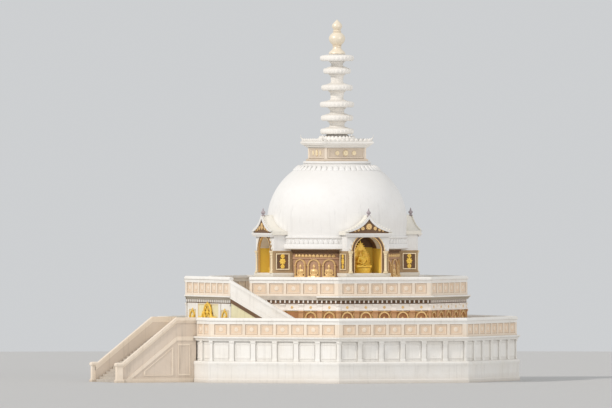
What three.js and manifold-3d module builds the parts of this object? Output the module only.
// A white domed stupa on two octagonal terraces, in millimetres, +Z up.
// The dome's axis is the Z axis, the ground is at Z = 0 and the main stair faces -Y.
import * as THREE from "three";
import { mergeVertices } from "three/addons/utils/BufferGeometryUtils.js";
import Module from "manifold-3d";

const wasm = await Module();
wasm.setup();

// Terraces: an apothem is the distance of an octagon's flat sides from the axis
const LOWER_APOTHEM = 12400;
const LOWER_FLOOR = 3400;
const UPPER_APOTHEM = 9000;
const UPPER_FLOOR = 6400;
const PLINTH_STEP = 200;
const PLINTH_TOP = 1600;
const SLAB_THICKNESS = 320;
const CORNICE_STEP = 230;
const LOWER_BAYS = 6;
const UPPER_BAYS = 5;
const PILASTER_WIDTH = 340;
const PANEL_DEPTH = 130;

// Parapets
const PARAPET_HEIGHT = 1400;
const PARAPET_THICKNESS = 260;
const PARAPET_SETBACK = 20;
const COPING_HEIGHT = 240;
const COPING_STEP = 70;

// Main stair
const STAIR_HALF_WIDTH = 2500;
const STAIR_WALL_THICKNESS = 340;
const STAIR_STEPS = 18;
const STAIR_TREAD = 270;
const LANDING_END = 13950;
const NEWEL_HEIGHT = 1250;
const NEWEL_LENGTH = 620;

// Flights between the terraces
const BAY_APOTHEM = 10450;
const FLIGHT_STEPS = 18;
const FLIGHT_TREAD = 320;
const FLIGHT_TOP = -3700;
const FLIGHT_WALL_THICKNESS = 220;
const FLIGHT_WALL_HEIGHT = 850;

// Drum, dome and porches
const DRUM_RADIUS = 4600;
const DRUM_TOP = 9800;
const DOME_RADIUS = 5200;
const DOME_CENTRE = 11900;
const DOME_TOP = 16150;
const COLLAR_RADIUS = 2450;
const NICHE_FLOOR = 8050;
const NICHE_HALF = 1100;
const NICHE_SPRING = 9700;
const PORCH_HALF = 1700;
const PORCH_BACK = 3900;
const PORCH_FRONT = 5850;
const PORCH_SHOULDER = 11100;
const PORCH_FOOT_HEIGHT = 320;
const PORCH_FOOT_STEP = 140;
const SILL_HEIGHT = 180;
const SILL_STEP = 100;
const NICHE_BACK_THICKNESS = 250;
const COLUMN_RADIUS = 130;
const COLUMN_INSET = 300;
const HOOD_PEAK = 12350;
const HOOD_FRONT = 6150;
const HOOD_OVERHANG = 180;
const HOOD_DROP = 220;
const HOOD_LIP = 260;
const CREST_HEIGHT = 600;
const STATUE_PLACE = 4900;
const SEAT_HEIGHT = 360;
const SEAT_RADIUS = 640;
const AUREOLE_HALF = 560;
const AUREOLE_TOP = 2330;

// Harmika and spire
const HARMIKA_FLOOR = 16350;
const HARMIKA_HALF = 1650;
const HARMIKA_CORNICE = 17350;
const HARMIKA_TOP = 17850;
const CORNICE_HALF = 2080;
const DISC_SEATS = [18350, 19350, 20350, 21600, 22850, 23800];
const DISC_RADII = [1220, 1180, 1250, 1150, 1000, 1240];
const DISC_HEIGHT = 540;
const DISC_RIM = 420;
const SHAFT_RADIUS = 560;
const SHAFT_TAPER = 30;
const SHAFT_FOOT = 1450;
const FINIAL_RADIUS = 620;
const SPIRE_TIP = 26900;

// Wheel and deer
const WHEEL_CENTRE = 5150;
const WHEEL_RADIUS = 700;
const WHEEL_RIM = 150;
const WHEEL_HUB = 190;
const SPOKE_HALF = 45;
const RELIEF_DEPTH = 160;
const LEDGE_HALF = 1900;
const LEDGE_HEIGHT = 170;

const GAP = 0.3;
const ROOM = 1000;
const DEG = Math.PI / 180;
const HALF_SIDE = Math.tan(22.5 * DEG);
const OCTAGON_CORNER = 1 / Math.cos(22.5 * DEG);
const QUARTERS = [["front", 0], ["right", 90], ["back", 180], ["left", 270]];

const finish = (color, roughness, metalness = 0) =>
  new THREE.MeshStandardMaterial({ color, roughness, metalness });
const whitewash = finish(0xf1ece4, 0.85);
const stone = finish(0xb9ab97, 0.9);
const cream = finish(0xe4d3bb, 0.85);
const ochre = finish(0xb98a55, 0.75);
const gold = finish(0xe0a526, 0.35, 0.8);

const part = new THREE.Group();

// Adds a named mesh, turned about the axis by a number of degrees
function add(name, geometry, material, degrees = 0) {
  const mesh = new THREE.Mesh(geometry, material.clone());
  mesh.name = name;
  mesh.rotation.z = degrees * DEG;
  part.add(mesh);
}

// A three.js geometry as a solid for booleans
function solid(geometry) {
  const bare = geometry.clone();
  bare.deleteAttribute("normal");
  bare.deleteAttribute("uv");
  const merged = mergeVertices(bare, 1e-3);
  return new wasm.Manifold(
    new wasm.Mesh({
      numProp: 3,
      vertProperties: merged.attributes.position.array,
      triVerts: new Uint32Array(merged.index.array),
    }),
  );
}

// A solid as a three.js geometry again
function geometryOf(made) {
  const mesh = made.getMesh();
  const geometry = new THREE.BufferGeometry();
  geometry.setAttribute("position", new THREE.BufferAttribute(new Float32Array(mesh.vertProperties), 3));
  geometry.setIndex(new THREE.BufferAttribute(new Uint32Array(mesh.triVerts), 1));
  return geometry;
}

const join = (...geometries) => geometryOf(geometries.map(solid).reduce((all, next) => all.add(next)));

const cut = (geometry, ...tools) =>
  geometryOf(tools.map(solid).reduce((left, tool) => left.subtract(tool), solid(geometry)));

const outlineOf = (points) => points.map(([u, v]) => new THREE.Vector2(u, v));

const extruded = (shape, depth, curveSegments = 8) =>
  new THREE.ExtrudeGeometry(shape, { depth, bevelEnabled: false, curveSegments });

// A plan outline pulled up between two heights
const prism = (points, bottom, top) =>
  extruded(new THREE.Shape(outlineOf(points)), top - bottom).translate(0, 0, bottom);

// A shape in X and Z, pulled along -Y between two distances in front of the axis
const standing = (shape, near, far, curveSegments) =>
  extruded(shape, far - near, curveSegments).rotateX(90 * DEG).translate(0, -near, 0);

const wall = (points, near, far) => standing(new THREE.Shape(outlineOf(points)), near, far);

const box = (x0, x1, near, far, z0, z1) => wall([[x0, z0], [x1, z0], [x1, z1], [x0, z1]], near, far);

// An outline in distance in front of the axis and Z, pulled along X between two places
function profile(points, left, right) {
  const shape = new THREE.Shape(outlineOf(points.map(([distance, z]) => [-distance, z])));
  return extruded(shape, right - left).rotateX(90 * DEG).rotateZ(90 * DEG).translate(left, 0, 0);
}

// A profile of radius and Z turned about the axis
const turned = (points, segments = 40, start = 0) =>
  new THREE.LatheGeometry(outlineOf(points), segments, start * DEG).rotateX(90 * DEG);

// Octagonal and square turnings, given by the distance of their flat sides
const octagonal = (points) => turned(points.map(([flat, z]) => [flat * OCTAGON_CORNER, z]), 8, 22.5);
const square = (points) => turned(points.map(([flat, z]) => [flat * Math.SQRT2, z]), 4, 45);

// The same geometry on the other side of the YZ plane, with its faces turned out again
function mirrored(geometry) {
  const flat = (geometry.index ? geometry.toNonIndexed() : geometry.clone()).scale(-1, 1, 1);
  const places = flat.getAttribute("position").array;
  for (let corner = 0; corner < places.length; corner += 9) {
    for (let axis = corner + 3; axis < corner + 6; axis += 1) {
      [places[axis], places[axis + 3]] = [places[axis + 3], places[axis]];
    }
  }
  return flat;
}

// The outline of an octagonal wall with pilasters between shallow panels
function pilasterOutline(apothem, bays) {
  const points = [];
  const half = apothem * HALF_SIDE;
  const pitch = (2 * half) / bays;
  for (let side = 0; side < 8; side += 1) {
    const angle = side * 45 * DEG;
    const at = (along, inset) => {
      const out = apothem - inset;
      const x = along * Math.cos(angle) + out * Math.sin(angle);
      const y = along * Math.sin(angle) - out * Math.cos(angle);
      return [x, y];
    };
    points.push(at(-half, 0));
    for (let bay = 0; bay < bays; bay += 1) {
      const from = -half + bay * pitch + PILASTER_WIDTH / 2;
      const to = from + pitch - PILASTER_WIDTH;
      points.push(at(from, 0), at(from, PANEL_DEPTH), at(to, PANEL_DEPTH), at(to, 0));
    }
  }
  return points;
}

// A floor slab whose edge steps out twice as a cornice
const floorSlab = (apothem, floor) =>
  octagonal([
    [0, floor - SLAB_THICKNESS],
    [apothem + CORNICE_STEP / 3, floor - SLAB_THICKNESS],
    [apothem + CORNICE_STEP / 3, floor - SLAB_THICKNESS / 2],
    [apothem + CORNICE_STEP, floor - SLAB_THICKNESS / 3],
    [apothem + CORNICE_STEP, floor],
    [0, floor],
  ]);

// A parapet along one side of an octagon, under a wider coping.
// An end that isn't given is mitred against the parapet of the next side.
function parapet(apothem, floor, [left, right] = []) {
  const inner = apothem - PARAPET_THICKNESS;
  const top = floor + PARAPET_HEIGHT;
  const plan = (near, far) => [
    [left ?? GAP - far * HALF_SIDE, -far],
    [right ?? far * HALF_SIDE - GAP, -far],
    [right ?? near * HALF_SIDE - GAP, -near],
    [left ?? GAP - near * HALF_SIDE, -near],
  ];
  const body = prism(plan(inner, apothem), floor, top - COPING_HEIGHT / 2);
  const coping = prism(plan(inner - COPING_STEP, apothem + COPING_STEP), top - COPING_HEIGHT, top);
  return join(body, coping);
}

// The stepped edge of a flight, as distance along it and Z, from the top landing to the foot
function stepLine(start, top, bottom, count, tread) {
  const riser = (top - bottom) / count;
  const points = [];
  for (let step = 0; step < count; step += 1) {
    points.push([start + step * tread, top - step * riser], [start + step * tread, top - (step + 1) * riser]);
  }
  return points;
}

// The lower terrace: wall with its plinth, floor with its cornice, and a parapet on each side
function lowerTerrace() {
  const gate = STAIR_HALF_WIDTH + GAP;
  const stairRoom = box(-gate, gate, LOWER_APOTHEM, LANDING_END, -ROOM, UPPER_FLOOR);
  const plinthSide = LOWER_APOTHEM + PLINTH_STEP;
  const plinth = octagonal([[0, 0], [plinthSide, 0], [plinthSide, PLINTH_TOP], [0, PLINTH_TOP]]);
  const body = prism(pilasterOutline(LOWER_APOTHEM, LOWER_BAYS), 0, LOWER_FLOOR - SLAB_THICKNESS);
  add("lower_wall", cut(join(plinth, body), stairRoom), whitewash);
  add("lower_floor", cut(floorSlab(LOWER_APOTHEM, LOWER_FLOOR), stairRoom), whitewash);

  const side = LOWER_APOTHEM - PARAPET_SETBACK;
  add("lower_parapet_front_left", parapet(side, LOWER_FLOOR, [undefined, -gate]), cream);
  add("lower_parapet_front_right", parapet(side, LOWER_FLOOR, [gate, undefined]), cream);
  const names = ["right_front", "right", "right_back", "back", "left_back", "left", "left_front"];
  names.forEach((name, index) => {
    add("lower_parapet_" + name, parapet(side, LOWER_FLOOR), cream, (index + 1) * 45);
  });
}

// The main stair: landing and steps between two walls that end in newel blocks
function mainStair() {
  const foot = LANDING_END + (STAIR_STEPS - 1) * STAIR_TREAD;
  const start = LOWER_APOTHEM + GAP;
  const passage = STAIR_HALF_WIDTH - STAIR_WALL_THICKNESS - GAP;
  const steps = stepLine(LANDING_END, LOWER_FLOOR, 0, STAIR_STEPS, STAIR_TREAD);
  add("main_stair", profile([[start, 0], [start, LOWER_FLOOR], ...steps], -passage, passage), stone);

  const rail = LOWER_FLOOR + PARAPET_HEIGHT;
  const gatePier = LOWER_APOTHEM - PARAPET_SETBACK - PARAPET_THICKNESS - COPING_STEP;
  const bearing = LOWER_FLOOR + GAP;
  const slope = (drop) => [[gatePier, rail - drop], [LANDING_END, rail - drop], [foot, NEWEL_HEIGHT - drop]];
  const side = [[start, 0], [start, bearing], [gatePier, bearing], ...slope(COPING_HEIGHT / 2), [foot, 0]];
  const coping = [...slope(0), ...slope(COPING_HEIGHT).reverse()];
  const inner = STAIR_HALF_WIDTH - STAIR_WALL_THICKNESS;
  const outer = STAIR_HALF_WIDTH;
  const newel = box(
    inner,
    outer + 2 * COPING_STEP,
    foot - NEWEL_LENGTH / 2,
    foot + NEWEL_LENGTH / 2,
    0,
    NEWEL_HEIGHT + COPING_HEIGHT,
  );
  const ledge = profile(coping, inner, outer + COPING_STEP);
  const endRoom = box(outer, outer + ROOM, 0, LOWER_APOTHEM + COPING_STEP, 0, UPPER_FLOOR);
  const right = join(profile(side, inner, outer), cut(ledge, endRoom), newel);
  add("stair_wall_right", right, cream);
  add("stair_wall_left", mirrored(right), cream);
}

// The room that the flight on the side to the right of the front takes out of the cornice
function flightRoom() {
  const far = BAY_APOTHEM + ROOM;
  const end = FLIGHT_TOP + FLIGHT_STEPS * FLIGHT_TREAD + 2 * GAP;
  return box(-far, end, UPPER_APOTHEM, far, LOWER_FLOOR, UPPER_FLOOR + ROOM);
}

// What lies beyond the corner between the front bay and the flight to the right of it
function beyondCorner() {
  const far = 2 * BAY_APOTHEM;
  const plan = [[GAP, 0], [-far, 0], [-far, -far], [GAP - far * HALF_SIDE, -far]];
  return prism(plan, -ROOM, UPPER_FLOOR + 2 * PARAPET_HEIGHT);
}

// The steps of a flight, on a side that faces -Y, coming down towards +X
function flightSteps() {
  const corner = -BAY_APOTHEM;
  const foot = FLIGHT_TOP + (FLIGHT_STEPS - 1) * FLIGHT_TREAD;
  const steps = stepLine(FLIGHT_TOP, UPPER_FLOOR, LOWER_FLOOR, FLIGHT_STEPS, FLIGHT_TREAD);
  const outline = [[corner, LOWER_FLOOR], [corner, UPPER_FLOOR], ...steps];
  const body = wall(outline, UPPER_APOTHEM + GAP, BAY_APOTHEM - FLIGHT_WALL_THICKNESS - GAP);
  return { body: cut(body, beyondCorner()), foot };
}

// The wall beside that flight, sloping down with it from the corner of the bay, under a coping
function flightWall(foot) {
  const low = LOWER_FLOOR + FLIGHT_WALL_HEIGHT;
  const end = foot + FLIGHT_TREAD;
  const start = -(BAY_APOTHEM + COPING_STEP) * HALF_SIDE;
  const rise = (UPPER_FLOOR - LOWER_FLOOR) / (foot - FLIGHT_TOP);
  const high = low + (foot - start) * rise;
  const slope = (drop) => [[end, low - drop], [foot, low - drop], [start, high - drop]];
  const inner = BAY_APOTHEM - FLIGHT_WALL_THICKNESS;
  const side = [[start, LOWER_FLOOR], [end, LOWER_FLOOR], ...slope(COPING_HEIGHT / 2)];
  const coping = [...slope(COPING_HEIGHT).reverse(), ...slope(0)];
  const made = join(wall(side, inner, BAY_APOTHEM), wall(coping, inner, BAY_APOTHEM + COPING_STEP));
  return cut(made, beyondCorner());
}

// The upper terrace: wall, floor, front bay, parapets and the two flights that climb to the bay
function upperTerrace() {
  const body = prism(pilasterOutline(UPPER_APOTHEM, UPPER_BAYS), LOWER_FLOOR, UPPER_FLOOR - SLAB_THICKNESS);
  add("upper_wall", body, ochre);
  const bayHalf = BAY_APOTHEM * HALF_SIDE;
  const bayRoom = box(-bayHalf, bayHalf, UPPER_APOTHEM, BAY_APOTHEM, LOWER_FLOOR, UPPER_FLOOR + ROOM);
  const rightRoom = flightRoom();
  const leftRoom = mirrored(rightRoom);
  rightRoom.rotateZ(45 * DEG);
  leftRoom.rotateZ(-45 * DEG);
  add("upper_floor", cut(floorSlab(UPPER_APOTHEM, UPPER_FLOOR), bayRoom, rightRoom, leftRoom), whitewash);

  const back = UPPER_APOTHEM + GAP;
  const bayPlan = [
    [GAP - bayHalf, -BAY_APOTHEM],
    [bayHalf - GAP, -BAY_APOTHEM],
    [back * HALF_SIDE - GAP, -back],
    [GAP - back * HALF_SIDE, -back],
  ];
  add("front_bay", prism(bayPlan, LOWER_FLOOR, UPPER_FLOOR), whitewash);

  const side = UPPER_APOTHEM - PARAPET_SETBACK;
  ["right", "right_back", "back", "left_back", "left"].forEach((name, index) => {
    add("upper_parapet_" + name, parapet(side, UPPER_FLOOR), cream, (index + 2) * 45);
  });
  const start = FLIGHT_TOP + FLIGHT_TREAD;
  add("upper_parapet_right_front", parapet(side, UPPER_FLOOR, [start, undefined]), cream, 45);
  add("upper_parapet_left_front", parapet(side, UPPER_FLOOR, [undefined, -start]), cream, -45);
  add("upper_parapet_bay", parapet(BAY_APOTHEM, UPPER_FLOOR), cream);

  const flight = flightSteps();
  const beside = flightWall(flight.foot);
  add("flight_right", flight.body, stone, 45);
  add("flight_left", mirrored(flight.body), stone, -45);
  add("flight_wall_right", beside, whitewash, 45);
  add("flight_wall_left", mirrored(beside), whitewash, -45);
}

// A gilded wheel between two deer on a ledge, in relief on the front bay
function wheelRelief() {
  const near = BAY_APOTHEM + GAP;
  const far = near + RELIEF_DEPTH;
  const ledge = WHEEL_CENTRE - WHEEL_RADIUS - 60;
  const circle = (radius) => new THREE.Shape().absarc(0, WHEEL_CENTRE, radius, 0, 2 * Math.PI);
  const ring = circle(WHEEL_RADIUS);
  ring.holes.push(circle(WHEEL_RADIUS - WHEEL_RIM));
  const reach = WHEEL_RADIUS - WHEEL_RIM / 2;
  const spoke = box(-SPOKE_HALF, SPOKE_HALF, near, far - SPOKE_HALF, -reach, reach);
  const turnedSpoke = (turn) => spoke.clone().rotateY(turn * DEG).translate(0, 0, WHEEL_CENTRE);
  const spokes = [0, 45, 90, 135].map(turnedSpoke);
  const deer = [
    [560, 0],
    [1560, 0],
    [1640, 200],
    [1560, 390],
    [1050, 470],
    [960, 740],
    [880, 860],
    [680, 900],
    [650, 810],
    [790, 740],
    [790, 500],
    [720, 230],
    [560, 130],
  ].map(([x, z]) => [x, ledge + z - 10]);
  const rightDeer = wall(deer, near, far);
  const shelf = box(-LEDGE_HALF, LEDGE_HALF, near, far + RELIEF_DEPTH / 2, ledge - LEDGE_HEIGHT, ledge);
  const stand = box(-WHEEL_HUB, WHEEL_HUB, near, far, ledge - SPOKE_HALF, ledge + WHEEL_RIM);
  const wheel = join(standing(ring, near, far), standing(circle(WHEEL_HUB), near, far), ...spokes);
  add("wheel_relief", join(wheel, rightDeer, mirrored(rightDeer), shelf, stand), gold);
}

// The room that a porch's body takes out of the drum and the dome
function porchRoom(turn) {
  const half = PORCH_HALF + GAP;
  return box(-half, half, PORCH_BACK - GAP, HOOD_FRONT + ROOM, 0, PORCH_SHOULDER).rotateZ(turn * DEG);
}

// The hood over a niche, a low gable with hollow slopes, grown by a margin where room is cut for it
function hood(margin) {
  const half = PORCH_HALF + HOOD_OVERHANG + margin;
  const eave = PORCH_SHOULDER - HOOD_DROP - margin;
  const lip = eave + HOOD_LIP + 2 * margin;
  const bend = lip + HOOD_LIP;
  const outline = new THREE.Shape();
  outline.moveTo(-half, eave);
  outline.lineTo(half, eave);
  outline.lineTo(half, lip);
  outline.quadraticCurveTo(half / 3, bend, 0, HOOD_PEAK + 2 * margin);
  outline.quadraticCurveTo(-half / 3, bend, -half, lip);
  outline.closePath();
  return standing(outline, PORCH_BACK - margin, HOOD_FRONT, 5);
}

// The drum, with a foot and a cornice
function drum() {
  const footHeight = 320;
  const step = 190;
  const outline = [
    [0, UPPER_FLOOR],
    [DRUM_RADIUS + step, UPPER_FLOOR],
    [DRUM_RADIUS + step, UPPER_FLOOR + footHeight],
    [DRUM_RADIUS, UPPER_FLOOR + footHeight],
    [DRUM_RADIUS, DRUM_TOP - footHeight],
    [DRUM_RADIUS + step, DRUM_TOP - footHeight / 2],
    [DRUM_RADIUS + step, DRUM_TOP],
    [0, DRUM_TOP],
  ];
  return cut(turned(outline), ...QUARTERS.map(([, turn]) => porchRoom(turn)));
}

// The dome: a rim, an upright skirt, a flattened half sphere and a collar
function dome() {
  const rimHeight = 400;
  const rimStep = 100;
  const bands = 12;
  const last = Math.acos(COLLAR_RADIUS / DOME_RADIUS);
  const rise = (DOME_TOP - DOME_CENTRE) / Math.sin(last);
  const outline = [
    [0, DRUM_TOP],
    [DOME_RADIUS + rimStep, DRUM_TOP],
    [DOME_RADIUS + rimStep, DRUM_TOP + rimHeight],
    [DOME_RADIUS - rimStep, DRUM_TOP + rimHeight],
  ];
  for (let band = 0; band <= bands; band += 1) {
    const angle = (last * band) / bands;
    outline.push([DOME_RADIUS * Math.cos(angle), DOME_CENTRE + rise * Math.sin(angle)]);
  }
  outline.push([COLLAR_RADIUS, HARMIKA_FLOOR], [0, HARMIKA_FLOOR]);
  const hoods = QUARTERS.map(([, turn]) => hood(GAP).rotateZ(turn * DEG));
  return cut(turned(outline), ...QUARTERS.map(([, turn]) => porchRoom(turn)), ...hoods);
}

// A round column in front of a porch's pier, between a base and a capital
function column(way) {
  const radius = COLUMN_RADIUS;
  const height = NICHE_SPRING - NICHE_FLOOR;
  const outline = [
    [0, 0],
    [radius * 1.5, 0],
    [radius * 1.5, radius],
    [radius, radius * 1.5],
    [radius * 0.9, height * 0.75],
    [radius * 1.6, height * 0.9],
    [radius * 1.6, height],
    [0, height],
  ];
  return turned(outline, 10).translate(way * (PORCH_HALF - COLUMN_INSET), -PORCH_FRONT, NICHE_FLOOR);
}

// The small urn on the peak of a hood
function crest() {
  const height = CREST_HEIGHT;
  const outline = [
    [0, 0],
    [150, 0],
    [70, height * 0.2],
    [170, height * 0.45],
    [50, height * 0.7],
    [0, height],
  ];
  return turned(outline, 8).translate(0, HOOD_OVERHANG - HOOD_FRONT, HOOD_PEAK - COPING_STEP);
}

// A porch: pedestal, sill, two piers with columns, and a hood around an arched niche
function porch() {
  const back = PORCH_BACK + NICHE_BACK_THICKNESS;
  const niche = new THREE.Shape();
  niche.moveTo(-NICHE_HALF, NICHE_FLOOR);
  niche.lineTo(NICHE_HALF, NICHE_FLOOR);
  niche.lineTo(NICHE_HALF, NICHE_SPRING);
  niche.absarc(0, NICHE_SPRING, NICHE_HALF, 0, Math.PI);
  const hollow = standing(niche, back, HOOD_FRONT + ROOM, 6);
  const free = DOME_RADIUS + 2 * COPING_STEP;
  const ledge = (z0, z1, step) => {
    const half = PORCH_HALF + step;
    return box(-half, half, free, PORCH_FRONT + step, z0, z1);
  };
  const body = box(-PORCH_HALF, PORCH_HALF, PORCH_BACK, PORCH_FRONT, UPPER_FLOOR, PORCH_SHOULDER);
  const foot = ledge(UPPER_FLOOR, UPPER_FLOOR + PORCH_FOOT_HEIGHT, PORCH_FOOT_STEP);
  const sill = ledge(NICHE_FLOOR - SILL_HEIGHT, NICHE_FLOOR, SILL_STEP);
  const masonry = cut(join(body, foot, sill, hood(0)), hollow);
  return join(masonry, column(-1), column(1), crest());
}

// A rounded form of a figure
function rounded(x, y, z, width, depth, height, segments = 6, rows = 4) {
  const ball = new THREE.SphereGeometry(1, segments, rows).rotateX(90 * DEG);
  return ball.scale(width, depth, height).translate(x, y, z);
}

// A seated figure on a lotus seat, before a pointed aureole
function statue() {
  const waist = SEAT_RADIUS * 0.8;
  const middle = SEAT_HEIGHT / 2;
  const seatOutline = [
    [0, 0],
    [SEAT_RADIUS, 0],
    [waist, middle],
    [SEAT_RADIUS, SEAT_HEIGHT],
    [0, SEAT_HEIGHT],
  ];
  const seat = turned(seatOutline, 10);
  const legs = rounded(0, -40, SEAT_HEIGHT + 130, 690, 430, 190, 8);
  const torsoOutline = [[0, 400], [330, 420], [290, 700], [380, 1020], [150, 1200], [120, 1300], [0, 1300]];
  const torso = turned(torsoOutline, 8);
  torso.scale(1, 0.7, 1);
  const arms = [-1, 1].map((way) => rounded(way * 370, -20, 860, 120, 150, 300));
  const hands = rounded(0, -270, 660, 350, 150, 100);
  const head = rounded(0, -10, 1450, 185, 195, 230, 8, 6);
  const topknot = rounded(0, 0, 1690, 95, 95, 90);
  const bulge = AUREOLE_HALF * 1.7;
  const leaf = new THREE.Shape();
  leaf.moveTo(-AUREOLE_HALF, middle);
  leaf.lineTo(AUREOLE_HALF, middle);
  leaf.quadraticCurveTo(bulge, AUREOLE_TOP * 0.6, 0, AUREOLE_TOP);
  leaf.quadraticCurveTo(-bulge, AUREOLE_TOP * 0.6, -AUREOLE_HALF, middle);
  const aureole = standing(leaf, -560, -460, 5);
  const figure = join(seat, legs, torso, ...arms, hands, head, topknot, aureole);
  return figure.translate(0, -STATUE_PLACE, NICHE_FLOOR);
}

// The square block over the dome
function harmika() {
  const footStep = 120;
  const footTop = HARMIKA_FLOOR + 160;
  return square([
    [0, HARMIKA_FLOOR],
    [HARMIKA_HALF + footStep, HARMIKA_FLOOR],
    [HARMIKA_HALF + footStep, footTop],
    [HARMIKA_HALF, footTop],
    [HARMIKA_HALF, HARMIKA_CORNICE],
    [0, HARMIKA_CORNICE],
  ]);
}

// Its flared cornice, with a horn curling up at each corner
function harmikaCornice() {
  const flare = (HARMIKA_TOP - HARMIKA_CORNICE) / 2;
  const slab = square([
    [0, HARMIKA_CORNICE],
    [HARMIKA_HALF + 100, HARMIKA_CORNICE],
    [CORNICE_HALF, HARMIKA_CORNICE + flare],
    [CORNICE_HALF, HARMIKA_TOP],
    [0, HARMIKA_TOP],
  ]);
  const corner = CORNICE_HALF * Math.SQRT2;
  const horn = profile(
    [
      [corner - 800, HARMIKA_TOP - 60],
      [corner - 250, HARMIKA_TOP - 60],
      [corner - 60, HARMIKA_TOP + 160],
      [corner, HARMIKA_TOP + 500],
      [corner - 200, HARMIKA_TOP + 380],
      [corner - 420, HARMIKA_TOP + 130],
      [corner - 800, HARMIKA_TOP + 60],
    ],
    -190,
    190,
  );
  return join(slab, ...[45, 135, 225, 315].map((turn) => horn.clone().rotateZ(turn * DEG)));
}

// One disc of the spire, with a rounded rim and a sloping top, around a bore
function discOutline(radius, core, seat) {
  const bore = core + GAP;
  const rounding = DISC_RIM / 4;
  return [
    [bore, seat],
    [radius - rounding, seat],
    [radius, seat + rounding],
    [radius, seat + DISC_RIM - rounding],
    [radius - rounding, seat + DISC_RIM],
    [core + 2 * rounding, seat + DISC_HEIGHT],
    [bore, seat + DISC_HEIGHT],
    [bore, seat],
  ];
}

// The finial: a foot, a neck, a round vase and a small jewel, as shares of its radius and height
function finialOutline(foot) {
  const shares = [
    [0, 0],
    [1, 0],
    [0.9, 0.07],
    [0.54, 0.16],
    [0.5, 0.25],
    [0.86, 0.35],
    [0.98, 0.45],
    [0.78, 0.56],
    [0.42, 0.65],
    [0.42, 0.7],
    [0.62, 0.78],
    [0.58, 0.86],
    [0.28, 0.94],
    [0, 1],
  ];
  return shares.map(([out, up]) => [out * FINIAL_RADIUS, foot + up * (SPIRE_TIP - foot)]);
}

// The spire: a shaft with a shoulder under each disc, the discs and the finial
function spire() {
  const segments = 16;
  const shaft = [
    [0, HARMIKA_TOP],
    [SHAFT_FOOT, HARMIKA_TOP],
    [SHAFT_FOOT, HARMIKA_TOP + DISC_RIM / 4],
    [SHAFT_FOOT * 0.6, HARMIKA_TOP + DISC_RIM],
  ];
  DISC_SEATS.forEach((seat, index) => {
    const core = SHAFT_RADIUS - index * SHAFT_TAPER;
    const shoulder = core + DISC_RIM / 2;
    const top = seat + DISC_HEIGHT;
    shaft.push([shoulder, seat], [core, seat], [core, top], [core - SHAFT_TAPER, top]);
    const disc = discOutline(DISC_RADII[index], core, seat);
    add("spire_disc_" + (index + 1), turned(disc, segments), whitewash);
  });
  const top = DISC_SEATS.at(-1) + DISC_HEIGHT;
  shaft.push([0, top]);
  add("spire_shaft", turned(shaft, segments), whitewash);
  add("finial", turned(finialOutline(top), segments), gold);
}

lowerTerrace();
mainStair();
upperTerrace();
wheelRelief();
add("drum", drum(), ochre);
add("dome", dome(), whitewash);
for (const [name, turn] of QUARTERS) {
  add("porch_" + name, porch(), cream, turn);
  add("statue_" + name, statue(), gold, turn);
}
add("harmika", harmika(), ochre);
add("harmika_cornice", harmikaCornice(), cream);
spire();

export default part;
